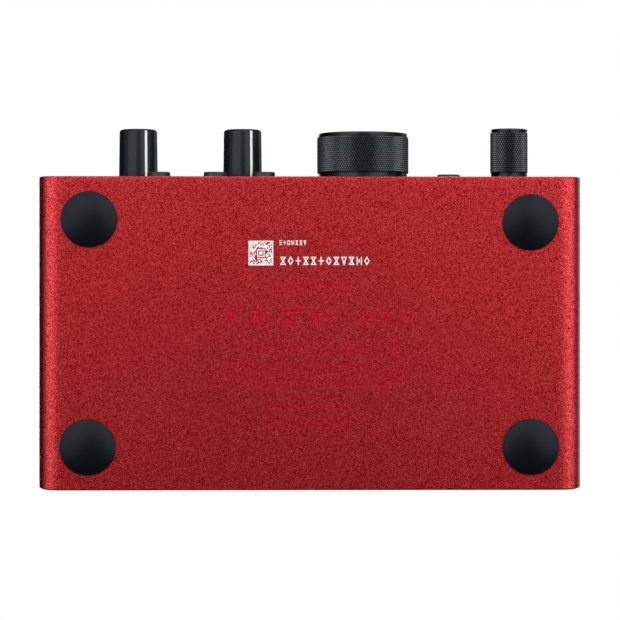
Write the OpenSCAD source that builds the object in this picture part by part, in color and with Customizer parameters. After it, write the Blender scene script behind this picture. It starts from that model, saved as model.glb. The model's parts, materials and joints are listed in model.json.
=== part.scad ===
// Desktop audio interface: a red aluminium sleeve that leans forward at the rear, a black
// front with two gain knobs, a large output knob, a headphone knob and seven push buttons,
// jack, microphone and data sockets, and the boards that carry them.
// The origin is on the surface that the feet stand on, at the middle of the whole outline.
// +Z is up, the front faces -Y, and +X is to the right as seen from the front.

/* [Case] */
// Width of the case
body_w = 180; // [178:1:190]
// Height of the case above its feet
body_h = 45; // [45:0.5:50]
// Depth of the case along its underside
body_d = 103.8; // [102:0.1:120]
// Radius of the case's four long edges
corner_r = 6; // [5:0.5:7]
// Wall of the aluminium sleeve
wall = 2; // [1.8:0.1:2.2]
// Lean of the rear end, in degrees
rear_tilt = 8.6; // [6:0.1:9]
// Rounding of the sleeve's front edge
edge_r = 0.9; // [0.5:0.05:1.5]
// Height of the rubber feet
foot_h = 2.5; // [2:0.1:3.5]
// Diameter of the rubber feet
foot_d = 18.6; // [16:0.1:20]
// Places of the feet across the case: front left, front right, rear left, rear right
foot_x = [-73.1, 72.85, -73.6, 72.95];
// How far each foot's centre is in from the front or rear edge, in the same order
foot_in = [14.25, 15.15, 14.35, 14.35];

/* [Controls] */
// Diameter of a gain knob at its base
gain_d = 13.3; // [12:0.05:14]
// Diameter of a gain knob at its tip
gain_tip_d = 12.85; // [11.5:0.05:13]
// How far a gain knob stands out of the case
gain_reach = 16.7; // [14:0.1:20]
// Diameter of the output knob
output_d = 31; // [28:0.1:32]
// How far the output knob stands out of the case
output_reach = 15.4; // [12:0.1:16]
// Diameter of the headphone knob
headphone_d = 12.9; // [12:0.1:14]
// How far the headphone knob stands out of the case
headphone_reach = 17.5; // [14:0.1:20]
// Diameter of a push button
button_d = 7.7; // [6.5:0.1:8]
// How far a push button stands out of the case
button_reach = 1.8; // [1.2:0.1:2.5]
// Travel of a push button
button_travel = 0.5; // [0.3:0.05:0.5]

/* [Front layout] */
// Places of the two gain knobs across the front
gain_x = [-57.6, -22.45];
// Place of the output knob across the front
output_x = 18.2; // [17:0.1:19]
// Place of the headphone knob across the front
headphone_x = 68.5; // [67:0.1:69]
// Height of the headphone knob above the surface
headphone_z = 33; // [32.5:0.1:34]
// Places of the three button columns across the front
button_x = [-50.4, -31.6, -15.45];
// Distance of the button rows above and below the knobs' axes
button_row = 12.5; // [12.2:0.1:13]
// Place of the direct monitor button across the front
direct_x = 47.5; // [46:0.1:49]
// Height of the direct monitor button above the surface
direct_z = 29; // [28:0.5:36]
// Places of the two instrument jacks across the front
input_x = [-76, -40];
// Place of the headphone jack across the front, and its height
phones_at = [78, 19.2];
// Angle of each gain pointer from straight down, towards the right
gain_angle = [25, 26.6];
// Angle of the output knob's notch from straight down
output_angle = 44.5; // [0:0.5:90]
// Angle of the headphone knob's notch from straight down
headphone_angle = 38.5; // [0:0.5:90]

/* [Rear layout] */
// Places of the two microphone sockets across the rear
xlr_x = [-66, -36];
// Places of the two line output jacks across the rear
line_x = [-5, 17];
// Places of the two data and power sockets across the rear
usb_x = [42, 60];
// Place of the security slot across the rear
lock_x = 78; // [76:0.5:79]

/* [Hidden] */
$fn = 64;
// Small overlap that keeps cuts clean, and the gap around pieces that slip into each other
over = 0.5;
slip = 0.1;
arc_steps = 8;

// The case, placed so that the outline's middle is at the origin
rear_chamfer = 0.4;
longest = max(gain_reach, headphone_reach);
total_d = body_d + longest - rear_chamfer * tan(rear_tilt);
y_front = longest - total_d / 2;
y_rear = y_front + body_d;
z_bot = foot_h;
z_top = foot_h + body_h;
z_mid = foot_h + body_h / 2;
inner_w = body_w - 2 * wall;
inner_h = body_h - 2 * wall;
inner_r = corner_r - wall;
boss_r = 3.5;
boss_in = 3.2;
boss_hole_r = 1.25;
foot_flat_r = 3;
foot_edge = 0.6;
adhesive_t = 0.2;

// The front, from the panel's outer face to the board behind it
panel_inset = 0.8;
panel_t = 2;
panel_y = y_front + panel_inset;
panel_back = panel_y + panel_t;
board_gap = 4;
board_t = 1.6;
front_board_y = panel_back + board_gap;
front_board_back = front_board_y + board_t;
knob_gap = 0.5;
knob_base = panel_y - knob_gap;
post_r = 2.5;
post_hole_r = 1.1;
posts = [[-40, -16], [-40, 16], [0, -16], [0, 16], [57, -15], [57, 17]];

// Knobs, their shafts and their potentiometers
shaft_r = 3;
run_gap = 0.05;
bush_r = 3.5;
bush_front = 4.6;
knob_wall = 1.3;
knob_boss_r = 4.1;
knob_front = 4;
knob_hollow = 8;
knob_round = 1;
gain_length = gain_reach + knob_base - y_front;
pointer_w = 0.85;
pointer_t = 0.5;
gain_pot = [9.8, 6.8];
output_pot_size = [16, 7.5];
shaft_tail = 4.5;
halo_w = 1.4;
gain_halo_r = 8.8;
output_halo_r = 17.6;
halo_lip = 0.6;
halo_step = 0.6;
output_rim_r = 15.1;
output_rim = 1.15;
output_collar = 2.05;
headphone_rim_r = 6.3;
headphone_rim = 1.05;
headphone_collar = 2.6;
band_edge = 0.15;
notch_w = 0.9;
notch_l = 3;
notch_deep = 0.4;

// Buttons and their switches
button_gap = 0.2;
button_lip = 0.8;
button_lip_t = 0.8;
button_edge = 0.5;
switch_size = [6, 2];
switch_slack = 0.15;
switch_tip_r = 1.6;
switch_tip = board_gap - run_gap - button_lip_t - switch_size[1] - button_travel - switch_slack;
light_r = 1;
light_drop = 7;

// Jacks: housing side, bore, nose and nut
jack_side = 14.6;
jack_bore_r = 3.2;
jack_bore_l = 32;
jack_nose_r = 6;
jack_nose = 0.6;
jack_nut_r = 7.5;
jack_nut_t = 0.7;

// The rear, in the plane of the leaning rear end: y points out of the panel, z up along it
rear_inset = 1;
rear_t = 1.2;
rear_back = rear_inset + rear_t;
rear_lift = (rear_inset + rear_t / 2) * tan(rear_tilt);
rear_h = body_h / cos(rear_tilt);
rear_mid = rear_h / 2;
rear_gap = 0.3;
rear_board_y = 26;
rear_board_z = [8.6, 42];
xlr_side = 26;
xlr_nose_r = 12;
xlr_mouth_r = 9.45;
xlr_deep = 17;
xlr_insert_r = 7.2;
xlr_pin_r = 1.3;
xlr_pin_ring = 3.95;
xlr_pin_deep = 14;
xlr_pins = [for (a = [-60, 60, 180]) xlr_pin_ring * [sin(a), cos(a)]];
xlr_nose = 0.3;
contact_r = [1.25, 0.95];
usb_size = [8.94, 3.26, 7.35];
usb_wall = 0.3;
usb_r = 1.2;
usb_back = 0.8;
usb_tongue = [6.7, 0.7, 5.6];
usb_board_z = 18;
usb_board_x = [33, 69];
usb_centre = usb_board_z + board_t + usb_size[1] / 2;
lock_size = [7, 3];
lock_r = 0.6;
tab_w = 14;
tab_l = 9;

// Tray, boards and what stands on them
tray_w = 158;
tray_t = 1;
tray_z = z_bot + wall + 0.2;
tray_front = panel_back + 0.2;
tray_rear = y_rear - 4.4;
tongue_w = 20;
tongue_x = 45;
tab_hole_y = tray_rear - tab_l / 2;
main_gap = 3.5;
main_z = tray_z + tray_t + main_gap;
main_top = main_z + board_t;
main_w = 156;
main_y = [front_board_back + 2, 22];
main_screws = [for (x = [-64, 0, 64], y = [main_y[0] + 4.5, main_y[1] - 5]) [x, y]];
board_hole_r = 1.4;
screw_r = 1.2;
screw_head_r = 2.3;
screw_head_t = 1.3;
screw_key_r = 1.1;
standoff_r = 2.9;
front_board_w = 159;
front_board_z = [7.2, z_top - 4];

// Colours
RED = [0.66, 0.08, 0.1];
BLACK = [0.1, 0.1, 0.11];
GLOSS = [0.14, 0.14, 0.16];
RUBBER = [0.07, 0.07, 0.08];
WHITE = [0.92, 0.92, 0.9];
STEEL = [0.7, 0.71, 0.73];
BOARD = [0.05, 0.25, 0.13];
SMOKE = [0.35, 0.36, 0.38];
GOLD = [0.83, 0.66, 0.3];

// Where each knob and button sits on the front, as [x, z]
gain_at = [for (x = gain_x) [x, z_mid]];
output_at = [output_x, z_mid];
headphone_at = [headphone_x, headphone_z];
button_at = [for (row = [1, -1], x = button_x) [x, z_mid + row * button_row]];
direct_at = [direct_x, direct_z];
light_at = [for (i = [1, 2]) [direct_x, direct_z - i * light_drop]];
input_at = [for (x = input_x) [x, z_mid]];
front_jacks = concat(input_at, [phones_at]);
pots_at = concat(gain_at, [output_at, headphone_at]);
buttons_at = concat(button_at, [direct_at]);
feet_at = [for (i = [0:3]) [foot_x[i], i < 2 ? y_front + foot_in[i] : y_rear - foot_in[i]]];
bosses = [for (x = [-1, 1], z = [-1, 1])
    [x * (inner_w / 2 - boss_in), z_mid + z * (inner_h / 2 - boss_in)]];

// A rounded rectangle about its centre
function rounded(w, h, r) = [for (corner = [0:3], i = [0:arc_steps])
    let (a = 90 * (corner + i / arc_steps),
         sx = corner == 0 || corner == 3 ? 1 : -1,
         sz = corner < 2 ? 1 : -1)
    [sx * (w / 2 - r) + r * cos(a), sz * (h / 2 - r) + r * sin(a)]];

// A quarter circle about a point
function quarter(c, r, from) = [for (i = [0:arc_steps])
    c + r * [cos(from + 90 * i / arc_steps), sin(from + 90 * i / arc_steps)]];

// Where the leaning rear end, moved in by some distance, lies at a height
function rear_y(z, inset) = y_rear - (z - z_bot) * tan(rear_tilt) - inset / cos(rear_tilt);

// Height up the leaning rear of a point at a height z, at some distance behind the rear end
function up_rear(z, inset) = (z - z_bot + inset * sin(rear_tilt)) / cos(rear_tilt);

// A flat outline drawn as seen from the front, from y0 back to y1
module plate(y0, y1) {
    translate([0, y1, 0]) rotate([90, 0, 0]) linear_extrude(y1 - y0) children();
}

// A round piece whose outline is given as [radius, distance towards the front]
module turned(at, y, outline) {
    translate([at[0], y, at[1]]) rotate([90, 0, 0]) rotate_extrude() polygon(outline);
}

// A round bar or hole along Y
module bar(at, y0, y1, r) {
    plate(y0, y1) translate(at) circle(r);
}

// The frame of the leaning rear end
module on_rear() {
    translate([0, y_rear, z_bot]) rotate([rear_tilt, 0, 0]) children();
}

// Everything in front of the rear end moved in by some distance
module ahead_of_rear(inset) {
    low = z_bot - 5;
    high = z_top + 5;
    translate([-body_w, 0, 0]) rotate([90, 0, 90]) linear_extrude(2 * body_w)
        polygon([[y_front - 5, low], [rear_y(low, inset), low],
                 [rear_y(high, inset), high], [y_front - 5, high]]);
}

// ---- Case ----

// The sleeve as seen from the side: rounded at the front, leaning and chamfered at the rear
module sleeve_side() {
    c = rear_chamfer;
    front = y_front + edge_r;
    translate([-body_w, 0, 0]) rotate([90, 0, 90]) linear_extrude(2 * body_w)
        polygon(concat(
            quarter([front, z_bot + edge_r], edge_r, 180),
            [[rear_y(z_bot, 0) - c, z_bot], [rear_y(z_bot + c, 0), z_bot + c],
             [rear_y(z_top - c, 0), z_top - c], [rear_y(z_top, 0) - c, z_top]],
            quarter([front, z_top - edge_r], edge_r, 90)));
}

// The sleeve, with screw bosses along its inner corners
module case_sleeve() color(RED) difference() {
    intersection() {
        plate(y_front, y_rear) translate([0, z_mid])
            polygon(rounded(body_w, body_h, corner_r));
        sleeve_side();
    }
    difference() {
        plate(y_front - over, y_rear + over) translate([0, z_mid])
            polygon(rounded(inner_w, inner_h, inner_r));
        intersection() {
            for (at = bosses) bar(at, panel_back + slip, y_rear, boss_r);
            ahead_of_rear(rear_back + slip);
        }
    }
    on_rear() for (at = bosses)
        bar([at[0], up_rear(at[1], rear_back)], -rear_back - 10, -rear_back + over, boss_hole_r);
}

module foot(i) color(RUBBER) {
    // The sphere that runs from the flat's edge to the top of the foot's upright edge
    drop = foot_h - adhesive_t - foot_edge;
    r = foot_d / 2;
    rise = (r * r - foot_flat_r * foot_flat_r + drop * drop) / (2 * drop);
    translate([feet_at[i][0], feet_at[i][1], 0]) intersection() {
        cylinder(h = foot_h - adhesive_t, r = r);
        translate([0, 0, rise]) sphere(r = norm([rise, foot_flat_r]), $fn = 96);
    }
}

module foot_adhesives() color(WHITE) for (at = feet_at)
    translate([at[0], at[1], foot_h - adhesive_t]) cylinder(h = adhesive_t, r = foot_d / 2 - 1);

module front_panel() color(BLACK) difference() {
    union() {
        plate(panel_y, panel_back) translate([0, z_mid])
            polygon(rounded(inner_w - 2 * slip, inner_h - 2 * slip, inner_r));
        for (p = posts) bar([p[0], z_mid + p[1]], panel_back - over, front_board_y, post_r);
    }
    for (at = gain_at) bar(at, panel_y - over, panel_back + over, gain_halo_r);
    bar(output_at, panel_y - over, panel_back + over, output_halo_r);
    bar(headphone_at, panel_y - over, panel_back + over, bush_r + slip);
    for (at = front_jacks) bar(at, panel_y - over, panel_back + over, jack_nose_r + slip);
    for (at = buttons_at)
        bar(at, panel_y - over, panel_back + over, button_d / 2 + button_gap);
    for (at = light_at) bar(at, panel_y - over, panel_back + over, light_r);
    for (p = posts) bar([p[0], z_mid + p[1]], panel_back, front_board_y + over, post_hole_r);
    for (x = [-tongue_x, tongue_x])
        translate([x - tongue_w / 2 - slip, panel_back - 1, tray_z - slip])
            cube([tongue_w + 2 * slip, 1 + over, tray_t + 2 * slip]);
}

module rear_panel() color(BLACK) {
    on_rear() difference() {
        plate(-rear_back, -rear_inset) translate([0, rear_mid + rear_lift])
            polygon(rounded(inner_w - 2 * rear_gap,
                (inner_h - 2 * rear_gap) / cos(rear_tilt), inner_r));
        for (x = xlr_x) bar([x, rear_mid], -rear_back - over, 0, xlr_nose_r + slip);
        for (x = line_x) bar([x, rear_mid], -rear_back - over, 0, jack_nose_r + slip);
        for (x = usb_x)
            plate(-rear_back - over, 0) translate([x, usb_centre])
                polygon(rounded(usb_size[0] + 4 * slip, usb_size[1] + 4 * slip, usb_r + slip));
        plate(-rear_back - over, 0) translate([lock_x, rear_mid])
            polygon(rounded(lock_size[0], lock_size[1], lock_r));
        for (at = bosses)
            bar([at[0], up_rear(at[1], rear_back)], -rear_back - over, 0, board_hole_r);
    }
    // Tabs folded in over the tray
    for (x = [-tongue_x, tongue_x]) difference() {
        translate([x - tab_w / 2, tray_rear - tab_l, tray_z + tray_t])
            cube([tab_w, rear_y(tray_z + tray_t, rear_back) - tray_rear + tab_l + 0.3, tray_t]);
        translate([x, tab_hole_y, tray_z]) cylinder(h = 3 * tray_t, r = board_hole_r);
    }
}

// A pan head screw whose thread runs down from its seat at z = 0
module screw(length, r = screw_r) {
    difference() {
        union() {
            translate([0, 0, -length]) cylinder(h = length, r = r);
            cylinder(h = screw_head_t, r = screw_head_r);
        }
        translate([0, 0, screw_head_t / 2]) cylinder(h = screw_head_t, r = screw_key_r, $fn = 6);
    }
}

module rear_screws() color(GLOSS) on_rear() for (at = bosses)
    translate([at[0], -rear_inset, up_rear(at[1], rear_back)]) rotate([-90, 0, 0]) screw(8);

module base_tray() color(STEEL) difference() {
    union() {
        translate([-tray_w / 2, tray_front, tray_z])
            cube([tray_w, tray_rear - tray_front, tray_t]);
        for (x = [-tongue_x, tongue_x])
            translate([x - tongue_w / 2, panel_back - 1 + slip, tray_z])
                cube([tongue_w, tray_front - panel_back + 1, tray_t]);
    }
    for (x = [-tongue_x, tongue_x])
        translate([x, tab_hole_y, tray_z - over]) cylinder(h = 2 * tray_t, r = screw_r);
}

module tray_screws() color(STEEL) for (x = [-tongue_x, tongue_x])
    translate([x, tab_hole_y, tray_z + 2 * tray_t]) screw(2 * tray_t);

// ---- Boards ----

module main_board() color(BOARD) difference() {
    translate([-main_w / 2, main_y[0], main_z])
        cube([main_w, main_y[1] - main_y[0], board_t]);
    for (at = main_screws)
        translate([at[0], at[1], main_z - over]) cylinder(h = 2 * board_t, r = board_hole_r);
}

module board_standoffs() color(GOLD) for (at = main_screws)
    translate([at[0], at[1], tray_z + tray_t]) difference() {
        cylinder(h = main_gap, r = standoff_r, $fn = 6);
        translate([0, 0, over]) cylinder(h = main_gap, r = screw_r);
    }

module board_screws() color(STEEL) {
    for (at = main_screws) translate([at[0], at[1], main_top]) screw(4);
    for (p = posts) translate([p[0], front_board_back, z_mid + p[1]])
        rotate([-90, 0, 0]) screw(5, post_hole_r);
}

module front_board() color(BOARD) difference() {
    plate(front_board_y, front_board_back)
        translate([-front_board_w / 2, front_board_z[0]])
            square([front_board_w, front_board_z[1] - front_board_z[0]]);
    for (at = front_jacks)
        plate(front_board_y - over, front_board_back + over) translate(at)
            square(jack_side + 1, center = true);
    for (at = pots_at) bar(at, front_board_y - over, front_board_back + over, bush_r + slip);
    for (p = posts)
        bar([p[0], z_mid + p[1]], front_board_y - over, front_board_back + over, board_hole_r);
}

module rear_board() color(BOARD) on_rear() difference() {
    plate(-rear_board_y, board_t - rear_board_y) translate([-79, rear_board_z[0]])
        square([158, rear_board_z[1] - rear_board_z[0]]);
    for (x = line_x)
        plate(-rear_board_y - over, board_t - rear_board_y + over) translate([x, rear_mid])
            square(jack_side + 1, center = true);
}

module usb_board() color(BOARD) on_rear()
    translate([usb_board_x[0], board_t - rear_board_y, usb_board_z])
        cube([usb_board_x[1] - usb_board_x[0], rear_board_y - board_t - rear_back - 0.3, board_t]);

// ---- Knobs ----

// A light guide that fills a round opening in the front, with a lip behind the panel.
// Its ring is level with the panel, and its middle is sunk under the knob.
module halo(at, r) color(SMOKE) turned(at, panel_back + halo_lip, [
    [bush_r + 0.3, 0], [r + halo_lip, 0], [r + halo_lip, halo_lip],
    [r - slip, halo_lip], [r - slip, halo_lip + panel_t], [r - halo_w, halo_lip + panel_t],
    [r - halo_w, halo_lip + panel_t - halo_step], [bush_r + 0.3, halo_lip + panel_t - halo_step]]);

// A potentiometer behind the front board, with its bush through the board
module pot(at, size) color(STEEL) difference() {
    union() {
        plate(front_board_back, front_board_back + size[1]) translate(at)
            square(size[0], center = true);
        bar(at, front_board_y - bush_front, front_board_back + over, bush_r);
    }
    bar(at, front_board_y - bush_front - over, front_board_back + shaft_tail + 0.3,
        shaft_r + run_gap);
}

module pot_nuts() color(STEEL) for (at = pots_at)
    plate(front_board_y - 2, front_board_y) translate(at) difference() {
        circle(5, $fn = 6);
        circle(bush_r);
    }

module shaft(at, reach) color(STEEL)
    bar(at, y_front - reach + knob_front, front_board_back + shaft_tail, shaft_r);

// A gain knob without its groove, from the skirt forwards
module gain_body(i) {
    tip_r = gain_tip_d / 2 - knob_round;
    turned(gain_at[i], knob_base, concat([[0, 0], [gain_d / 2, 0]],
        quarter([tip_r, gain_length - knob_round], knob_round, 0), [[0, gain_length]]));
}

// The straight groove along a gain knob's side and over its tip to the middle
module pointer_groove(i, w, t) {
    translate([gain_at[i][0], knob_base, gain_at[i][1]]) rotate([0, -gain_angle[i], 0]) {
        translate([-w / 2, -gain_length - over, -gain_d])
            cube([w, gain_length + 2 * over, gain_d - gain_tip_d / 2 + t]);
        translate([-w / 2, -gain_length - over, -gain_d]) cube([w, over + t, gain_d]);
    }
}

module gain_knob(i) color(GLOSS) difference() {
    gain_body(i);
    pointer_groove(i, pointer_w, pointer_t);
    bar(gain_at[i], knob_base - gain_length + knob_front - slip, knob_base + over, shaft_r);
    turned(gain_at[i], knob_base + over, [[knob_boss_r, 0], [gain_d / 2 - knob_wall, 0],
        [gain_d / 2 - knob_wall, knob_hollow], [knob_boss_r, knob_hollow]]);
}

module gain_pointer(i) color(WHITE) intersection() {
    gain_body(i);
    pointer_groove(i, pointer_w - 0.02, pointer_t - 0.01);
}

// A knob for a knurled band, with a plain rim and collar and a hollow around its middle
module banded_knob(at, reach, r, rim_r, rim, collar, angle, skirt) color(BLACK) {
    length = reach + knob_base - y_front;
    difference() {
        turned(at, knob_base, [[0, 0], [rim_r, 0], [rim_r, collar], [r, collar + band_edge],
            [r, length - rim], [rim_r, length - rim + band_edge],
            [rim_r, length - 2 * band_edge], [rim_r - 2 * band_edge, length], [0, length]]);
        bar(at, knob_base - length + knob_front - slip, knob_base + over, shaft_r);
        turned(at, knob_base + over, [[knob_boss_r, 0], [r - skirt, 0],
            [r - skirt, knob_hollow], [knob_boss_r, knob_hollow]]);
        translate([at[0], knob_base - length, at[1]]) rotate([0, -angle, 0])
            translate([-notch_w / 2, -over, -rim_r - over])
                cube([notch_w, notch_deep + over, notch_l + over]);
    }
}

module output_knob() banded_knob(output_at, output_reach, output_d / 2, output_rim_r,
    output_rim, output_collar, output_angle, 2 * knob_wall);

module headphone_knob() banded_knob(headphone_at, headphone_reach, headphone_d / 2,
    headphone_rim_r, headphone_rim, headphone_collar, headphone_angle, knob_wall);

// ---- Buttons ----

// A push button: its cap through the panel, and the lip that keeps it in
module button(at) color(BLACK) {
    r = button_d / 2;
    back = panel_back + run_gap + button_lip_t;
    length = back - y_front + button_reach;
    turned(at, back, [[0, 0], [r + button_lip, 0], [r + button_lip, button_lip_t],
        [r, button_lip_t], [r, length - button_edge], [r - button_edge, length], [0, length]]);
}

module button_switches() color(GLOSS) for (at = buttons_at) {
    plate(front_board_y - switch_size[1], front_board_y) translate(at)
        square(switch_size[0], center = true);
    bar(at, front_board_y - switch_size[1] - switch_tip, front_board_y - switch_size[1] + over,
        switch_tip_r);
}

module status_lights() color(WHITE) for (at = light_at)
    bar(at, panel_y, front_board_y, light_r - 0.02);

// ---- Sockets ----

// A jack socket that looks towards -Y, with its panel's outer face at y
module jack(at, y, thick) color(BLACK) difference() {
    union() {
        plate(y + thick, y + thick + jack_bore_l) translate(at) square(jack_side, center = true);
        bar(at, y - jack_nose, y + thick + over, jack_nose_r);
    }
    bar(at, y - jack_nose - over, y - jack_nose + jack_bore_l, jack_bore_r);
}

module jack_nut(at, y) {
    turned(at, y, [[jack_nose_r, 0], [jack_nut_r, 0], [jack_nut_r, jack_nut_t / 2],
        [jack_nut_r - jack_nut_t / 2, jack_nut_t], [jack_nose_r, jack_nut_t]]);
}

// Turns a socket that looks towards -Y to face out of the rear, at its place on the rear
module facing_out(x, z) {
    on_rear() translate([x, -rear_inset, z]) rotate([0, 0, 180]) children();
}

module line_jack(i) facing_out(line_x[i], rear_mid) jack([0, 0], 0, rear_t);

module jack_nuts() color(STEEL) {
    for (at = front_jacks) jack_nut(at, panel_y);
    for (x = line_x) facing_out(x, rear_mid) jack_nut([0, 0], 0);
}

module xlr_shell(i) color(BLACK) facing_out(xlr_x[i], rear_mid) difference() {
    union() {
        plate(rear_t, rear_board_y - board_t - rear_inset) square(xlr_side, center = true);
        bar([0, 0], -xlr_nose, rear_t + over, xlr_nose_r);
    }
    bar([0, 0], -xlr_nose - over, xlr_deep - xlr_nose, xlr_mouth_r);
}

module xlr_insert(i) color(GLOSS) facing_out(xlr_x[i], rear_mid) difference() {
    bar([0, 0], xlr_nose, xlr_deep - xlr_nose, xlr_insert_r);
    for (p = xlr_pins) bar(p, -over, xlr_pin_deep, xlr_pin_r);
}

module xlr_contacts() color(GOLD) for (x = xlr_x) facing_out(x, rear_mid) for (p = xlr_pins)
    plate(1.5, xlr_pin_deep) translate(p) difference() {
        circle(contact_r[0]);
        circle(contact_r[1]);
    }

// A data socket that looks out of the rear: shell, back and contact tongue
module usb_socket() {
    w = usb_size[0];
    h = usb_size[1];
    plate(0, usb_size[2]) difference() {
        polygon(rounded(w, h, usb_r));
        polygon(rounded(w - 2 * usb_wall, h - 2 * usb_wall, usb_r - usb_wall));
    }
    plate(usb_size[2] - usb_back, usb_size[2])
        polygon(rounded(w - usb_wall, h - usb_wall, usb_r));
    plate(usb_size[2] - usb_tongue[2] - usb_back, usb_size[2])
        square([usb_tongue[0], usb_tongue[1]], center = true);
}

module usb_sockets() color(STEEL) for (x = usb_x)
    facing_out(x, usb_centre) translate([0, 0.2, 0]) usb_socket();

// ---- What stands on the main board ----

module on_main(x, y) {
    translate([x, y, main_top]) children();
}

module main_chips() color(GLOSS) {
    for (chip = [[25, -10, 12], [-10, -8, 9], [48, -6, 7], [6, 8, 6], [62, 2, 6]])
        on_main(chip[0], chip[1]) translate([-chip[2] / 2, -chip[2] / 2, 0])
            cube([chip[2], chip[2], 1.2]);
}

module capacitors() color([0.2, 0.2, 0.24]) {
    for (x = [-55:9:-19]) on_main(x, 14) cylinder(h = 11, r = 3.9);
    for (x = [34, 44, 54]) on_main(x, 14) cylinder(h = 9, r = 3.2);
}

module preamp_shield() color(STEEL) on_main(-62, -22) difference() {
    cube([40, 26, 5.6]);
    translate([0.4, 0.4, -over]) cube([39.2, 25.2, 5.2 + over]);
}

// Flat cables from the main board up to the front board, and across to the rear board
module ribbon_cables() color([0.75, 0.75, 0.72]) {
    t = 0.6;
    low = main_top;
    front = front_board_back;
    translate([4, 0, 0]) rotate([90, 0, 90]) linear_extrude(16)
        polygon([[front, low + 5], [front, low + 5 - t], [front + 9 - t, low + 5 - t],
            [front + 9 - t, low], [front + 9, low], [front + 9, low + 5]]);
    back = rear_y(low + 4, rear_board_y);
    translate([28, 0, 0]) rotate([90, 0, 90]) linear_extrude(16)
        polygon([[back, low + 4], [back, low + 4 - t], [19 + t, low + 4 - t],
            [19 + t, low], [19, low], [19, low + 4]]);
}

case_sleeve();
front_panel();
rear_panel();
rear_screws();
base_tray();
tray_screws();
foot(0);  // foot_front_left
foot(1);  // foot_front_right
foot(2);  // foot_rear_left
foot(3);  // foot_rear_right
foot_adhesives();
main_board();
board_standoffs();
board_screws();
front_board();
rear_board();
halo(gain_at[0], gain_halo_r);  // gain_halo_1
halo(gain_at[1], gain_halo_r);  // gain_halo_2
halo(output_at, output_halo_r);  // output_halo
pot(gain_at[0], gain_pot);  // gain_pot_1
pot(gain_at[1], gain_pot);  // gain_pot_2
pot(output_at, output_pot_size);  // output_pot
pot(headphone_at, gain_pot);  // headphone_pot
pot_nuts();
gain_knob(0);  // gain_knob_1
gain_pointer(0);  // gain_pointer_1
shaft(gain_at[0], gain_reach);  // gain_shaft_1
gain_knob(1);  // gain_knob_2
gain_pointer(1);  // gain_pointer_2
shaft(gain_at[1], gain_reach);  // gain_shaft_2
output_knob();
shaft(output_at, output_reach);  // output_shaft
headphone_knob();
shaft(headphone_at, headphone_reach);  // headphone_shaft
button(button_at[0]);  // select_button
button(button_at[1]);  // phantom_button
button(button_at[2]);  // instrument_button
button(button_at[3]);  // auto_button
button(button_at[4]);  // safe_button
button(button_at[5]);  // air_button
button(direct_at);  // direct_button
button_switches();
status_lights();
jack(input_at[0], panel_y, panel_t);  // input_jack_1
jack(input_at[1], panel_y, panel_t);  // input_jack_2
jack(phones_at, panel_y, panel_t);  // headphone_jack
line_jack(0);  // line_jack_left
line_jack(1);  // line_jack_right
jack_nuts();
xlr_shell(0);  // xlr_shell_1
xlr_shell(1);  // xlr_shell_2
xlr_insert(0);  // xlr_insert_1
xlr_insert(1);  // xlr_insert_2
xlr_contacts();
usb_sockets();
usb_board();
main_chips();
capacitors();
preamp_shield();
ribbon_cables();
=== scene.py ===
# %% [markdown]
# # A desktop audio interface, seen from below
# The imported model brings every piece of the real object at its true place: sleeve, panels, feet,
# knobs, buttons, sockets and boards. This notebook gives each piece its finish, and remakes the
# pieces that need finer shapes than a machine drawing holds: the rolled edge of the sleeve, the
# domed feet, the knurling of the knobs and the thin layers of ink.

# %% Load the frame
import json
import math
import random

import bmesh
import bpy
from mathutils import Matrix, Vector


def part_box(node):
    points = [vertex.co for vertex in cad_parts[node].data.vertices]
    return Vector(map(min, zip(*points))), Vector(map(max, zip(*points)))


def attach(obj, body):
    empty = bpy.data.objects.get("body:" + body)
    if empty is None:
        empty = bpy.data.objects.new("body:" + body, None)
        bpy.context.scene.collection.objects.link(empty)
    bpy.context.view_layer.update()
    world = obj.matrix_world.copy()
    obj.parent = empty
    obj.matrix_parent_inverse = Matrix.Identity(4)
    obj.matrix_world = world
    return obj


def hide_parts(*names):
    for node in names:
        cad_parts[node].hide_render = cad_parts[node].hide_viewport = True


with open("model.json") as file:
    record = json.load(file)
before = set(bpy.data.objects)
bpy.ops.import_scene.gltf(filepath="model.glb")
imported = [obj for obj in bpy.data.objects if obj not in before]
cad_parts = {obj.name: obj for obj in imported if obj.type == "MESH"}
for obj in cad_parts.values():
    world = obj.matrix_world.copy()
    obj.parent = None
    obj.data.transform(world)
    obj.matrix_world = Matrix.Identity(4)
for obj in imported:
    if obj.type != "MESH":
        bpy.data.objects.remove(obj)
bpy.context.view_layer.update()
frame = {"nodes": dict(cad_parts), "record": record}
nodes = frame["nodes"]
MM = 0.001
random.seed(11)

# %% [markdown]
# The sleeve's own box gives the numbers that everything else is placed by: where the front edge
# is, how far down the underside is, and how far the rear end leans. Distances on the underside
# are counted from the front edge, as a maker would set out the print. Typing these places in would
# work too, but read from the pieces they stay right when the drawing changes.

# %% Driving places
sleeve_low, sleeve_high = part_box("case_sleeve")
case_w = sleeve_high[0] - sleeve_low[0]
case_h = sleeve_high[2] - sleeve_low[2]
front_y = sleeve_low[1]
rear_y = sleeve_high[1]
under_z = sleeve_low[2]
top_z = sleeve_high[2]
rear_tilt = 8.6
lean = math.tan(math.radians(rear_tilt))
rear_chamfer = 0.4 * MM
rear_foot = rear_y + rear_chamfer * lean
wall = 2 * MM
corner = 6 * MM
print("case", round(case_w / MM, 1), "wide,", round(case_h / MM, 1), "high")

# %% [markdown]
# The object is looked at from straight below, with a long lens, from a little under a metre, and
# the view axis leans a degree or so to one side. A camera looks along its own -Z with +Y up, so
# its three axes are written as the columns of a matrix. A Track To constraint could aim it instead,
# but straight up is the one direction in which such a constraint can't tell which way is up.

# %% Camera
lens = 163.5
sensor_w = 36
distance = 0.930
view_centre = Vector((-0.2 * MM, front_y + 44.18 * MM, under_z))
look = Vector((0.024, 0, 1)).normalized()


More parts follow.
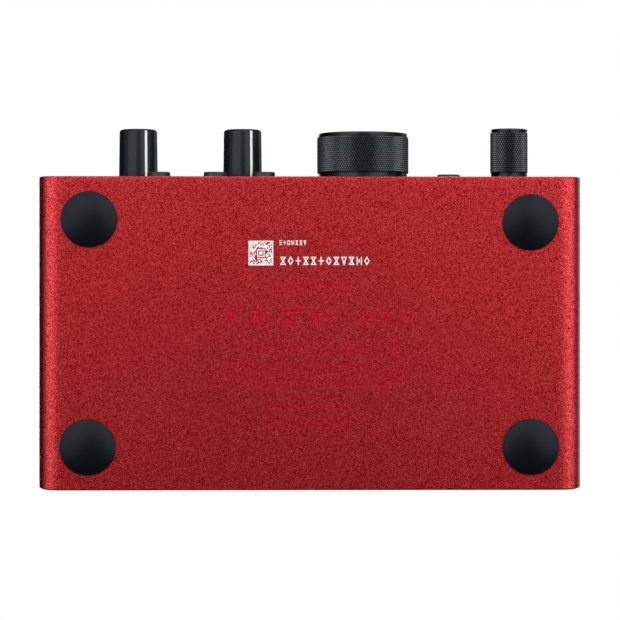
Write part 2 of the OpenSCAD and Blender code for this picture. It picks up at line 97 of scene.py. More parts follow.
def place_camera():
    back = -look
    right = Vector((0, -1, 0)).cross(back).normalized()
    up = back.cross(right)
    camera = bpy.data.objects.new("camera", bpy.data.cameras.new("camera"))
    camera.data.lens = lens
    camera.data.sensor_width = sensor_w
    camera.data.clip_start = 0.01
    turn = Matrix((right, up, back)).transposed().to_4x4()
    camera.matrix_world = Matrix.Translation(view_centre - look * distance) @ turn
    bpy.context.scene.collection.objects.link(camera)
    bpy.context.scene.camera = camera
    return camera


camera = place_camera()
print("camera at", [round(v, 3) for v in camera.matrix_world.translation])

# %% [markdown]
# Shader arithmetic reads best as plain arithmetic. `Wire` wraps one output socket of a node, and
# adding or multiplying wires makes the Math nodes. `Finish` is a material: it makes any node from
# its type, its settings and its inputs, and sets the sockets of the surface shader. All patterns
# use object coordinates, so they need no unwrapping and keep their real scale.

# %% A small language for finishes
class Wire:
    def __init__(self, finish, socket):
        self.finish = finish
        self.socket = socket

    def _math(self, operation, first, second):
        return self.finish.node("ShaderNodeMath", {"operation": operation}, {0: first, 1: second})

    def __add__(self, other):
        return self._math("ADD", self, other)

    def __radd__(self, other):
        return self._math("ADD", other, self)

    def __sub__(self, other):
        return self._math("SUBTRACT", self, other)

    def __rsub__(self, other):
        return self._math("SUBTRACT", other, self)

    def __mul__(self, other):
        return self._math("MULTIPLY", self, other)

    def __rmul__(self, other):
        return self._math("MULTIPLY", other, self)


class Finish:
    def __init__(self, name):
        self.material = bpy.data.materials.new(name)
        self.material.use_nodes = True
        self.tree = self.material.node_tree
        self.surface = self.tree.nodes["Principled BSDF"]
        coordinates = self.tree.nodes.new("ShaderNodeTexCoord")
        self.place = Wire(self, coordinates.outputs["Object"])

    def _feed(self, socket, value):
        if isinstance(value, Wire):
            self.tree.links.new(value.socket, socket)
        elif isinstance(value, tuple) and len(value) == 3 and socket.type == "RGBA":
            socket.default_value = (*value, 1)
        else:
            socket.default_value = value

    def node(self, kind, settings, inputs, out=0):
        made = self.tree.nodes.new(kind)
        for name, value in settings.items():
            if name == "stops":
                ramp = made.color_ramp
                while len(ramp.elements) < len(value):
                    ramp.elements.new(1)
                for element, (position, level) in zip(ramp.elements, value):
                    element.position = position
                    element.color = (level, level, level, 1)
            else:
                setattr(made, name, value)
        for key, value in inputs.items():
            self._feed(made.inputs[key], value)
        return Wire(self, made.outputs[out])

    def noise(self, per_metre, detail=2, rough=0.5):
        return self.node("ShaderNodeTexNoise", {}, {
            "Vector": self.place, "Scale": per_metre, "Detail": detail, "Roughness": rough})

    def cells(self, per_metre, out):
        return self.node("ShaderNodeTexVoronoi", {}, {
            "Vector": self.place, "Scale": per_metre}, out)

    def ramp(self, wire, stops):
        return self.node("ShaderNodeValToRGB", {"stops": stops}, {"Fac": wire})

    def blend(self, factor, low, high):
        # A Mix node has a set of sockets for each type of data: these are the ones for colours
        factor_in, low_in, high_in, colour_out = 0, 6, 7, 2
        return self.node("ShaderNodeMix", {"data_type": "RGBA"}, {
            factor_in: factor, low_in: low, high_in: high}, colour_out)

    def bump(self, height, depth, strength=1.0):
        return self.node("ShaderNodeBump", {}, {
            "Height": height, "Distance": depth, "Strength": strength})

    def set(self, **sockets):
        for name, value in sockets.items():
            self._feed(self.surface.inputs[name.replace("_", " ")], value)
        return self.material


def darker(colour, by):
    return tuple(channel * by for channel in colour)


print("finishes can be written as sums")

# %% [markdown]
# The sleeve is aluminium, blasted with glass beads and then anodised red. Blasting leaves dents of
# about a fifth of a millimetre, each a little facet that catches the light by itself. A displaced
# mesh would need millions of faces for this, so fine noise and the colours of small cells make both
# the bump and a speckle of painted shade in the colour, darker where the facets would turn away
# from the light. Dye over metal is a coloured mirror, so it is metallic. The sealed skin over the
# dye also gives back white light, and more of it from some facets: that is the coat, and its weight
# carries the same speckle.

# %% Red anodised aluminium
dents_per_metre = 5600
facets_per_metre = 5300
clouds_per_metre = 60


def red_anodised(name, deep, light, white):
    finish = Finish(name)
    dents = finish.noise(dents_per_metre, 2, 0.6)
    facets = finish.cells(facets_per_metre, "Color")
    drift = finish.noise(clouds_per_metre, 3)
    speck = (dents - 0.5) * 2.5 + (facets - 0.5) * 3.0
    # Painted shade: the speckle darkens the colour on some facets, as if they turned away from the
    # light
    dye_and_facet_shade = finish.blend(0.5 + speck, deep, light)
    uneven = finish.blend(drift * 0.2, dye_and_facet_shade, deep)
    return finish.set(
        Base_Color=uneven, Metallic=1.0, Roughness=0.35 + speck * 0.05,
        Coat_Weight=white + speck * 1.2, Coat_Roughness=0.3,
        Normal=finish.bump(dents + facets * 0.4, 0.05 * MM, 0.6))


case_red = red_anodised("case_red", (0.26, 0.0006, 0.0028), (0.71, 0.032, 0.039), 0.38)
print("made", case_red.name)

# %% [markdown]
# The other finishes follow one pattern: a colour that drifts between two near shades, a roughness
# that varies with it, and a fine grain of its own size in the normal. One function with a row of
# numbers for each finish keeps them comparable, as on a maker's colour card.

# %% The colour card
def grained(name, colour, shade, rough, metal=0.0, grain_mm=0.4, depth_mm=0.004, **more):
    finish = Finish(name)
    grain = finish.noise(1 / (grain_mm * MM), 3, 0.6)
    drift = finish.noise(1 / (14 * MM), 2)
    mix = grain * 0.6 + drift * 0.4
    tint = finish.blend(finish.ramp(mix, [(0.3, 0), (0.7, 1)]), darker(colour, 1 - shade),
                        darker(colour, 1 + shade))
    return finish.set(Base_Color=tint, Metallic=metal, Roughness=(rough - 0.05) + mix * 0.1,
                      Normal=finish.bump(grain, depth_mm * MM), **more)


def knurled_metal():
    """Black metal with a painted highlight on its points and painted shade in its valleys; the mesh
    says where the points are.
    """
    finish = Finish("knurl_black")
    tip = finish.node("ShaderNodeAttribute", {"attribute_name": "tip"}, {}, "Fac")
    worn = finish.noise(900, 2)
    return finish.set(
        # Painted shade in the valleys and a painted highlight on the points
        Base_Color=finish.blend(tip, (0.013, 0.015, 0.018), (0.185, 0.200, 0.222)),
        Metallic=1.0, Roughness=0.22 + worn * 0.1, Normal=finish.bump(worn, 0.01 * MM))


finishes = {
    "case_red": case_red,
    "front_black": grained("front_black", (0.014, 0.014, 0.016), 0.2, 0.50, grain_mm=0.25),
    "rear_black": grained("rear_black", (0.020, 0.020, 0.022), 0.25, 0.55, grain_mm=0.5,
                          depth_mm=0.02),
    "screw_black": grained("screw_black", (0.035, 0.035, 0.038), 0.2, 0.35, metal=0.8),
    "tray_steel": grained("tray_steel", (0.55, 0.56, 0.58), 0.12, 0.35, metal=1.0, grain_mm=3),
    "screw_steel": grained("screw_steel", (0.60, 0.60, 0.62), 0.1, 0.3, metal=1.0),
    "foot_rubber": grained("foot_rubber", (0.0022, 0.0029, 0.0048), 0.25, 0.37, grain_mm=0.3,
                           depth_mm=0.003, Specular_IOR_Level=0.20,
                           Specular_Tint=(0.74, 0.86, 1.0)),
    "adhesive_white": grained("adhesive_white", (0.75, 0.74, 0.70), 0.08, 0.7),
    "board_green": grained("board_green", (0.012, 0.10, 0.040), 0.3, 0.3, grain_mm=2,
                           Coat_Weight=0.4),
    "standoff_brass": grained("standoff_brass", (0.70, 0.48, 0.18), 0.1, 0.3, metal=1.0),
    "halo_smoke": grained("halo_smoke", (0.10, 0.105, 0.115), 0.1, 0.25, grain_mm=1,
                          Coat_Weight=0.5),
    "pot_steel": grained("pot_steel", (0.50, 0.50, 0.52), 0.1, 0.3, metal=1.0),
    "gain_gloss": grained("gain_gloss", (0.0045, 0.0060, 0.0095), 0.10, 0.27, grain_mm=0.2,
                          depth_mm=0.001, Specular_IOR_Level=0.29,
                          Specular_Tint=(0.82, 0.90, 1.0)),
    "pointer_white": grained("pointer_white", (0.85, 0.85, 0.84), 0.03, 0.45),
    "knurl_black": knurled_metal(),
    "rim_black": grained("rim_black", (0.030, 0.033, 0.037), 0.15, 0.30, metal=1.0,
                         grain_mm=0.15, depth_mm=0.002),
    "button_black": grained("button_black", (0.012, 0.0125, 0.014), 0.15, 0.42, grain_mm=0.2),
    "switch_black": grained("switch_black", (0.02, 0.02, 0.02), 0.2, 0.5),
    "light_clear": grained("light_clear", (0.7, 0.75, 0.75), 0.05, 0.2),
    "jack_black": grained("jack_black", (0.012, 0.012, 0.013), 0.2, 0.45),
    "nut_nickel": grained("nut_nickel", (0.09, 0.09, 0.095), 0.15, 0.28, metal=0.9),
    "xlr_black": grained("xlr_black", (0.014, 0.014, 0.015), 0.2, 0.32),
    "contact_gold": grained("contact_gold", (0.80, 0.56, 0.20), 0.08, 0.25, metal=1.0),
    "usb_steel": grained("usb_steel", (0.60, 0.61, 0.63), 0.08, 0.25, metal=1.0),
    "chip_black": grained("chip_black", (0.015, 0.015, 0.015), 0.2, 0.5),
    "capacitor_sleeve": grained("capacitor_sleeve", (0.03, 0.03, 0.06), 0.15, 0.35),
    "ribbon_grey": grained("ribbon_grey", (0.45, 0.45, 0.44), 0.08, 0.5),
}
print(len(finishes), "finishes on the card")

# %% [markdown]
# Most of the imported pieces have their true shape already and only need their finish. The record
# names one slot for each piece, and the card above has one finish for each slot, so a short loop
# does what would otherwise be sixty lines.

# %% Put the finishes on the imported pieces
for row in frame["record"]["subparts"]:
    piece = nodes[row["node"]]
    piece.data.materials.clear()
    piece.data.materials.append(finishes[row["material_slot"]])

# %% [markdown]
# Most of the finer pieces are one of two kinds. A piece turned on a lathe is an outline swept
# round an axis, and the sleeve is a ring of wall swept along the case. Both are rows of points
# joined by quads, so one helper joins rows, and it can close the last row to the first.

# %% Helpers for meshes
def add_piece(name, mesh, slot, body="root", stands_for=(), finish=None):
    piece = bpy.data.objects.new(name, mesh)
    bpy.context.scene.collection.objects.link(piece)
    mesh.materials.append(finish or finishes[slot])
    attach(piece, body)
    if stands_for:
        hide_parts(*stands_for)
    return piece


def finish_mesh(bm, name, smooth_under=35):
    bmesh.ops.remove_doubles(bm, verts=bm.verts, dist=1e-7)
    bmesh.ops.dissolve_degenerate(bm, dist=1e-8, edges=bm.edges)
    bmesh.ops.recalc_face_normals(bm, faces=bm.faces)
    mesh = bpy.data.meshes.new(name)
    bm.to_mesh(mesh)
    bm.free()
    for polygon in mesh.polygons:
        polygon.use_smooth = True
    mesh.set_sharp_from_angle(angle=math.radians(smooth_under))
    return mesh


def join_rows(bm, rows, closed=False):
    grid = [[bm.verts.new(point) for point in row] for row in rows]
    following = grid[1:] + grid[:1] if closed else grid[1:]
    count = len(rows[0])
    for first, second in zip(grid, following):
        for i in range(count):
            j = (i + 1) % count
            bm.faces.new((first[i], first[j], second[j], second[i]))
    return grid


def corner_outline(width, height, reach, power, steps=24):
    """A rectangle with rounded corners: a power of 2 gives circles, more a gentler start."""
    points = []
    for number, (sx, sz) in enumerate(((1, 1), (-1, 1), (-1, -1), (1, -1))):
        for i in range(steps + 1):
            t = i / steps
            turn = math.radians(90 * t * t / (t * t + (1 - t) ** 2))
            u, v = (max(0, f(turn)) ** (1 / (power - 1)) for f in (math.cos, math.sin))
            size = (u ** power + v ** power) ** (1 / power)
            u, v = u / size, v / size
            u, v = ((u, v), (-v, u), (-u, -v), (v, -u))[number]
            points.append((sx * (width / 2 - reach) + reach * u,
                           sz * (height / 2 - reach) + reach * v))
    return points


print("helpers ready")

# %% [markdown]
# The sleeve is one extrusion, cut square at the front and at a lean at the rear, with its front
# edge rolled and its rear edge broken by a small chamfer. Each row is the outline of the case,
# drawn in by some distance, at some place along it. Seen from the front the row order is: round
# the rolled edge, along the outside, over the chamfer, and back along the inside. A drawn tube's
# outer corner has no sharp start: its curve grows out of the flat, which is what lets a highlight
# fade in slowly, so only the inside corner is a circle. A bevelled box would be quicker, but it
# gives circles only, and it can't end square at one end and leaning at the other.

# %% Case sleeve
outer_reach = 9 * MM
outer_power = 3.2


def sleeve_row(inset, y_of):
    outside = inset < wall / 2
    reach, power = (outer_reach, outer_power) if outside else (corner, 2)
    outline = corner_outline(case_w - 2 * inset, case_h - 2 * inset, reach - inset, power)
    middle = (under_z + top_z) / 2
    return [(x, y_of(middle + z), middle + z) for x, z in outline]


def from_front(distance):
    return lambda z: front_y + distance


def from_rear(distance):
    return lambda z: rear_foot - (z - under_z) * lean - distance


def make_sleeve():
    roll = 0.5 * MM
    rows = [sleeve_row(wall, from_front(0.25 * MM)), sleeve_row(wall - 0.25 * MM, from_front(0))]
    for i in range(11):
        a = math.radians(90 * i / 10)
        rows.append(sleeve_row(roll * (1 - math.sin(a)), from_front(roll * (1 - math.cos(a)))))
    rows.append(sleeve_row(0, from_front(3 * MM)))
    for inset, distance in ((0, 0.6), (0, 0.4), (0.1, 0.2), (0.4, 0), (1.8, 0), (2, 0.2)):
        rows.append(sleeve_row(inset * MM, from_rear(distance * MM)))
    bm = bmesh.new()
    join_rows(bm, rows, closed=True)
    return add_piece("sleeve", finish_mesh(bm, "sleeve"), "case_red",
                     stands_for=["case_sleeve"])


sleeve = make_sleeve()
print("sleeve faces", len(sleeve.data.polygons))

# %% [markdown]
# A foot is moulded rubber: a low dome with a soft shoulder and a short upright edge. Only the very
# middle is flat. It is turned about an upright axis, from the middle of the dome to the back. A
# squashed ball would give the dome, but not the shoulder that the light catches.

# %% Feet
def turned(outline, columns=96):
    rows = [[(r * math.cos(a), r * math.sin(a), h)
             for a in (2 * math.pi * i / columns for i in range(columns))] for r, h in outline]
    return rows


def make_foot(node):
    low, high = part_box(node)
    centre = ((low[0] + high[0]) / 2, (low[1] + high[1]) / 2)
    radius = (high[0] - low[0]) / 2
    height = high[2] - low[2]
    flat = 0.6 * MM
    edge = 0.55 * MM
    rise = height - edge
    ball = ((radius ** 2 - flat ** 2) + rise ** 2) / (2 * rise)
    outline = [(0, low[2]), (flat * 0.6, low[2])]
    for i in range(19):
        r = flat + (radius - 0.25 * MM - flat) * i / 18
        drop = math.sqrt(ball ** 2 - flat ** 2) - math.sqrt(ball ** 2 - r ** 2)
        outline.append((r, low[2] + drop))
    shoulder = outline[-1][1]
    for i in range(1, 6):
        a = math.radians(18 * i)
        outline.append((radius - 0.25 * MM * (1 - math.sin(a)),
                        shoulder + 0.22 * MM * (1 - math.cos(a))))
    outline += [(radius, high[2] - 0.1 * MM), (radius - 0.1 * MM, high[2]), (0, high[2])]
    bm = bmesh.new()
    join_rows(bm, turned(outline))
    mesh = finish_mesh(bm, node + "_dome")
    mesh.transform(Matrix.Translation((*centre, 0)))
    return add_piece(node + "_dome", mesh, "foot_rubber", stands_for=[node])


for place in ("front_left", "front_right", "rear_left", "rear_right"):
    made = make_foot("foot_" + place)
print("feet, each with", len(made.data.polygons), "faces")

# %% [markdown]
# All knobs are turned about the axis of their shaft, which runs front to back, and carry one
# groove or notch. Columns of points that sit exactly on the groove's two edges keep its walls
# crisp: every row has its normal columns, and four special ones whose angle follows the groove's
# constant width. Rows outside the groove repeat the same points, which are merged.

# %% Helpers for knobs
def grooved_rows(outline, width, columns, clear_angle):
    rows = []
    for r, h, deep_r, deep_h in outline:
        half = math.asin(min(1, width / 2 / r)) if r > width else None
        row = []
        start = math.radians(clear_angle)
        if half is None:
            half = start / 2
        cut = [(half, r, h), (half * 0.999, r - deep_r, h - deep_h),
               (-half * 0.999, r - deep_r, h - deep_h), (-half, r, h)]
        for i in range(columns + 1):
            a = start + (2 * math.pi - 2 * start) * i / columns
            row.append((r * math.cos(a), r * math.sin(a), h))
        for a, radius, height in reversed(cut):
            row.append((radius * math.cos(a), radius * math.sin(a), height))
        rows.append(row)
    return rows


def knob_place(node, angle):
    """The matrix that takes a knob drawn along +Z, with its mark on +X, to its place."""
    low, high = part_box(node)
    x = (low[0] + high[0]) / 2
    z = (low[2] + high[2]) / 2
    a = math.radians(angle)
    mark = Vector((math.sin(a), 0, -math.cos(a)))
    forward = Vector((0, -1, 0))
    side = forward.cross(mark)
    turn = Matrix((mark, side, forward)).transposed().to_4x4()
    return Matrix.Translation((x, high[1], z)) @ turn, high[1] - low[1], (high[0] - low[0]) / 2


on_axis = 0.0001 * MM


def socket_outline(length, outer):
    """The inside of a knob: the bore for its shaft, its boss and the hollow around it."""
    bore = 3 * MM
    boss = 4.1 * MM
    hollow = 7.5 * MM
    depth = length - 4.1 * MM
    return [(on_axis, depth), (bore, depth), (bore, 0), (boss, 0), (boss, hollow),
            (outer, hollow), (outer, 0)]


def plain(points):
    return [(r, h, 0, 0) for r, h in points]


print("knob helpers ready")

# %% [markdown]
# A gain knob is a plain, slightly tapered cap with a softly rounded tip. A white moulded line lies
# in its groove from the skirt to just under the rim, so that the empty end of the groove shows as
# a small notch in the rim. The line goes on across the tip.

# %% Gain knobs
def make_gain_knob(number, angle):
    node = f"gain_knob_{number}"
    body = f"gain_control_{number}"
    place, length, base_r = knob_place(node, angle)
    tip_r = base_r - 0.225 * MM
    round_r = 0.9 * MM
    width = 0.85 * MM
    deep = 0.45 * MM
    outline = plain(socket_outline(length, 5.2 * MM))
    outline += [(base_r - 0.15 * MM, 0, deep, 0), (base_r, 0.15 * MM, deep, 0)]
    outline.append((tip_r, length - round_r, deep, 0))
    for i in range(1, 9):
        a = math.radians(11.25 * i)
        outline.append((tip_r - round_r * (1 - math.cos(a)),
                        length - round_r * (1 - math.sin(a)),
                        deep * math.cos(a), deep * math.sin(a)))
    outline += [(tip_r - 1.6 * MM, length, 0, deep), (tip_r - 1.6 * MM, length, 0, 0)]
    outline += plain([(2 * MM, length), (on_axis, length)])
    bm = bmesh.new()
    join_rows(bm, grooved_rows(outline, width, 110, 8))
    mesh = finish_mesh(bm, node + "_cap", 30)
    mesh.transform(place)
    knob = add_piece(node + "_cap", mesh, "gain_gloss", body, [node])

    line = bmesh.new()
    half = width / 2 - 0.01 * MM
    proud = 0.02 * MM
    stops = [(0.1 * MM, base_r), (length - round_r, tip_r), (length - 0.62 * MM, tip_r - 0.04 * MM)]
    rows = [[(r - deep, half, h), (r + proud, half, h), (r + proud, -half, h), (r - deep, -half, h)]
            for h, r in stops]
    grid = join_rows(line, rows)
    line.faces.new(grid[0])
    line.faces.new(grid[-1])
    across = [[(r, half, length - 0.1 * MM), (r, half, length + proud),
               (r, -half, length + proud), (r, -half, length - 0.1 * MM)]
              for r in (1 * MM, tip_r - 1.7 * MM)]
    grid = join_rows(line, across)
    line.faces.new(grid[0])
    line.faces.new(grid[-1])
    mesh = finish_mesh(line, f"gain_line_{number}")
    mesh.transform(place)
    add_piece(f"gain_line_{number}", mesh, "pointer_white", body, [f"gain_pointer_{number}"])
    return knob


for number, angle in ((1, 25), (2, 26.6)):
    made = make_gain_knob(number, angle)
print("gain knob faces", len(made.data.polygons))

# %% [markdown]
# Diamond knurling is rolled into the metal by two sets of slanted ridges, which leave rows of
# little pyramids. On a grid of points around and along the band, every other point is the tip of a
# pyramid and the rest lie in the valleys, like the squares of a chess board. Splitting each cell
# between its two valley points gives true pyramids with straight valleys. The points are painted
# brighter, a painted highlight, and the valleys darker, painted shade, so each vertex also stores
# whether it is a point, for the finish to read. The grip is a ring of its own, pressed on a plain
# turned core whose rim and collar show at its two ends, each with a thin neck.

# %% The knurled grip
def knurl(bm, radius, start, end, valley):
    """A closed ring of pyramids, whose points are marked in the layer called tip."""
    tip = bm.verts.layers.float.new("tip")
    around = 2 * round(math.pi * radius / (0.43 * MM))
    along = 2 * round((end - start) / (0.72 * MM) / 2)
    rows = []
    for j in range(along + 1):
        h = start + (end - start) * j / along
        row = []
        for i in range(around):
            a = 2 * math.pi * i / around
            is_tip = 0 < j < along and (i + j) % 2 == 0
            r = radius - (0 if is_tip else valley)
            row.append(bm.verts.new((r * math.cos(a), r * math.sin(a), h)))
            row[-1][tip] = is_tip
        rows.append(row)
    for j in range(along):
        for i in range(around):
            k = (i + 1) % around
            a, b, c, d = rows[j][i], rows[j][k], rows[j + 1][k], rows[j + 1][i]
            if (i + j) % 2:
                bm.faces.new((a, b, c))
                bm.faces.new((a, c, d))
            else:
                bm.faces.new((a, b, d))
                bm.faces.new((b, c, d))
    inside = radius - valley - 0.15 * MM
    back = [[bm.verts.new((inside * math.cos(a), inside * math.sin(a), h))
             for a in (2 * math.pi * i / around for i in range(around))] for h in (end, start)]
    for first, second in ((rows[-1], back[0]), (back[0], back[1]), (back[1], rows[0])):
        for i in range(around):
            k = (i + 1) % around
            bm.faces.new((first[i], first[k], second[k], second[i]))


print("knurling ready")

# %% [markdown]
# Under the grip is the knob's core, turned like the gain knobs: bore, boss and hollow at the back,
# a collar, the seat that the grip is pressed on, and a rim whose face carries one milled notch.
# Core and grip are two closed pieces, so each keeps its own finish and its own clean edges.

# %% Knurled knobs
def make_knurled_knob(node, body, angle, rim_r, rim, collar, columns):
    place, length, band_r = knob_place(node, angle)
    neck = 0.22 * MM
    edge = 0.35 * MM
    deep = 0.42 * MM
    valley = 0.32 * MM
    notch_w = 0.9 * MM
    reach = rim_r * 0.28
    start = collar
    end = length - rim
    grip = bmesh.new()
    knurl(grip, band_r, start, end, valley)
    mesh = finish_mesh(grip, node + "_grip", 30)
    mesh.transform(place)
    made = add_piece(node + "_grip", mesh, "knurl_black", body)

    floor = band_r - valley - 0.17 * MM
    outline = plain(socket_outline(length, max(rim_r - 3 * MM, 4.9 * MM)))
    outline += plain([(rim_r - 0.2 * MM, 0), (rim_r, 0.2 * MM), (rim_r, start - neck),
                      (rim_r - neck, start - neck + 0.1 * MM), (rim_r - neck, start),
                      (floor, start)])
    outline += plain([(floor, end), (rim_r - neck, end), (rim_r - neck, end + 0.15 * MM)])
    outline.append((rim_r, end + 0.25 * MM, 0, 0))
    notch_start = length - deep
    outline.append((rim_r, length - edge, 0, 0))
    for i in range(1, 7):
        a = math.radians(15 * i)
        h = length - edge * (1 - math.sin(a))
        outline.append((rim_r - edge * (1 - math.cos(a)), h, 0, max(0, h - notch_start)))
    outline += [(rim_r - reach, length, 0, deep), (rim_r - reach, length, 0, 0)]
    outline += plain([(rim_r * 0.4, length), (on_axis, length)])
    core = bmesh.new()
    join_rows(core, grooved_rows(outline, notch_w, columns, 12))
    mesh = finish_mesh(core, node + "_core", 30)
    mesh.transform(place)
    add_piece(node + "_core", mesh, "knurl_black", body, [node], finishes["rim_black"])
    return made


grip = make_knurled_knob("output_knob", "output_control", 44.5, 15.1 * MM, 1.15 * MM, 2.05 * MM,
                         168)
print("output knob grip faces", len(grip.data.polygons))
grip = make_knurled_knob("headphone_knob", "headphone_control", 38.5, 6.3 * MM, 1.05 * MM,
                         2.6 * MM, 96)
print("headphone knob grip faces", len(grip.data.polygons))

# %% [markdown]
# A push button is a moulded cap with a rounded edge, and a lip behind the panel. Its face carries
# a small sunk ring, which tells the finger where its middle is. It is turned like the feet, so the
# edge and the ring are real steps that catch the light, and not only a bump in the finish.

# %% Buttons
def make_button(node):
    place, length, lip_r = knob_place(node, 0)
    cap_r = lip_r - 0.8 * MM
    round_r = 0.35 * MM
    outline = [(0, 0), (lip_r - 0.1 * MM, 0), (lip_r, 0.1 * MM), (lip_r, 0.75 * MM),
               (lip_r - 0.05 * MM, 0.8 * MM), (cap_r, 0.8 * MM)]
    for i in range(7):
        a = math.radians(15 * i)
        outline.append((cap_r - round_r * (1 - math.cos(a)), length - round_r * (1 - math.sin(a))))
    for r, drop in ((2.3, 0.02), (2.2, 0.12), (1.9, 0.14), (1.8, 0.04), (0, 0.05)):
        outline.append((r * MM, length - drop * MM))
    bm = bmesh.new()
    join_rows(bm, turned(outline, 72))
    mesh = finish_mesh(bm, node + "_cap", 40)
    mesh.transform(place)
    body = node.replace("button", "key")
    return add_piece(node + "_cap", mesh, "button_black", body, [node])


buttons = [name for name in nodes if name.endswith("_button")]
for name in buttons:
    make_button(name)
print("buttons", len(buttons))

# %% [markdown]
# The underside is printed twice: once in white, with a code square, a short row and a long row of
# marks; and once in clear red, which lets the blasted surface show through and only makes it a
# little purer and smoother. The marks are strokes, rings, boxes and diamonds that say nothing, and
# the code square is made of modules drawn at random. Ink is real, if thin: each stroke is a closed
# slab of a few hundredths of a millimetre, half sunk in the face that carries it. A drawing only
# needs to know how to turn a place on its face into a place in space.

# %% Inks
def white_ink():
    finish = Finish("white_ink")
    wear = finish.noise(2600, 3, 0.7)
    return finish.set(
        Base_Color=finish.blend(finish.ramp(wear, [(0.35, 0), (0.6, 1)]),
                                (0.80, 0.74, 0.73), (1.0, 0.98, 0.97)),
        Roughness=0.5 + wear * 0.1, Normal=finish.bump(wear, 0.01 * MM))


print_white = white_ink()
print_red = red_anodised("clear_red_ink", (0.46, 0.0010, 0.0110), (0.84, 0.010, 0.042), 0.14)
INK = 0.012 * MM
MARKS = {
    "box": [(0, 0, 1, 0), (1, 0, 1, 1), (1, 1, 0, 1), (0, 1, 0, 0)],
    "diamond": [(0.5, 0, 1, 0.5), (1, 0.5, 0.5, 1), (0.5, 1, 0, 0.5), (0, 0.5, 0.5, 0)],
    "rungs": [(0, 0, 1, 0), (0, 0.5, 1, 0.5), (0, 1, 1, 1)],
    "posts": [(0, 0, 0, 1), (0.5, 0.35, 0.5, 0.65), (1, 0, 1, 1)],
    "cross": [(0.5, 0, 0.5, 1), (0, 0.5, 1, 0.5)],
    "wedge": [(0, 0, 1, 0), (1, 0, 0.5, 1), (0.5, 1, 0, 0)],
    "glass": [(0, 0, 1, 0), (1, 0, 0, 1), (0, 1, 1, 1), (1, 1, 0, 0)],
}
print(len(MARKS), "marks to draw with")

# %% [markdown]
# Ink could be a mask in the case's finish, but a mask in object coordinates would also print
# through to the inside of the sleeve, and its edges would be soft. Slabs have crisp edges at any
# distance. One class holds the mesh of a print while it grows, and each method draws one kind of
# stroke.

# %% A drawing in ink
class Drawing:
    """Closed slabs of ink on one face. Outlines are in mm, and place turns them into space."""

    def __init__(self, place):
        self.bm = bmesh.new()
        self.place = place
        self.made = 0

    def slab(self, outline):
        # Crossing strokes differ a little in thickness, so that no two faces coincide
        half = INK * (1 + 0.12 * (self.made % 8))
        self.made += 1
        grid = join_rows(self.bm, [[self.place(x, y, lift) for x, y in outline]
                                   for lift in (-half, half)])
        self.bm.faces.new(grid[0])
        self.bm.faces.new(grid[1])

    def bar(self, x, y, width, height):
        self.slab([(x, y), (x + width, y), (x + width, y + height), (x, y + height)])

    def disc(self, x, y, radius, sides=24):
        self.slab([(x + radius * math.cos(2 * math.pi * i / sides),
                    y + radius * math.sin(2 * math.pi * i / sides)) for i in range(sides)])

    def ring(self, x, y, radius, stroke, start=0, sweep=360):
        count = max(3, round(28 * sweep / 360))
        for i in range(count):
            a, b = (math.radians(start + sweep * (i + s) / count) for s in (0, 1))
            self.slab([(x + r * math.cos(t), y + r * math.sin(t)) for r, t in (
                (radius, a), (radius, b), (radius - stroke, b), (radius - stroke, a))])

    def stroke(self, x0, y0, x1, y1, width):
        length = math.hypot(x1 - x0, y1 - y0)
        dx, dy = (x1 - x0) / length * width / 2, (y1 - y0) / length * width / 2
        self.slab([(x0 - dx - dy, y0 - dy + dx), (x1 + dx - dy, y1 + dy + dx),
                   (x1 + dx + dy, y1 + dy - dx), (x0 - dx + dy, y0 - dy - dx)])

    def mark(self, kind, x, y, width, height, stroke):
        half = stroke / 2
        for x0, y0, x1, y1 in MARKS[kind]:
            self.stroke(x + half + (width - stroke) * x0, y + half + (height - stroke) * y0,
                        x + half + (width - stroke) * x1, y + half + (height - stroke) * y1, stroke)

    def marks(self, x, y, height, count, pitch, stroke):
        for i in range(count):
            kind = random.choice(sorted(MARKS))
            self.mark(kind, x + i * pitch, y, pitch - 2.1 * stroke, height, stroke)

    def fine_row(self, x0, x1, y, height):
        """A row of strokes so fine that from a distance it looks like small print."""
        x = x0
        while x < x1:
            width = random.uniform(0.3, 0.7)
            tall = height * random.choice((1, 1, 0.7))
            self.bar(x, y, width, tall)
            x += width + random.choice((0.16, 0.18, 0.2, 0.7))

    def done(self, name, slot, finish):
        return add_piece(name, finish_mesh(self.bm, name), slot, finish=finish)


def on_underside(x, y, lift):
    return (x * MM, front_y + y * MM, under_z + lift)


print("drawing ready")

# %% [markdown]
# The white print is a square of small modules with a bull's-eye in its middle, and two rows of
# marks beside it. A random number decides whether a module is inked, so the square holds no
# message. The seed was set at the top, so it is the same square each time.

# %% White code square and marks
def draw_code(ink, x0, y0, size):
    modules = 23
    share_inked = 0.62
    step = size / modules
    middle = (modules - 1) / 2
    for j in range(modules):
        for i in range(modules):
            edge = min(i, j, modules - 1 - i, modules - 1 - j) < 1
            centre = max(abs(i - middle), abs(j - middle))
            if centre <= 4:
                inked = centre in (0, 1, 3)
            else:
                inked = edge or random.random() < share_inked
            if inked:
                ink.bar(x0 + i * step, y0 + j * step, step, step)


ink = Drawing(on_underside)
draw_code(ink, -20.5, 21.3, 8.15)
ink.marks(-10.35, 21.2, 1.5, 7, 1.34, 0.22)
ink.marks(-10.0, 26.6, 2.7, 12, 2.52, 0.36)
white = ink.done("white_print", "case_red", print_white)
print("white print faces", len(white.data.polygons))

# %% [markdown]
# The red print is a block of small symbols and rows that look like fine print from a distance. The
# ink is clear, so it shows mostly where the surface under it would have sparkled.

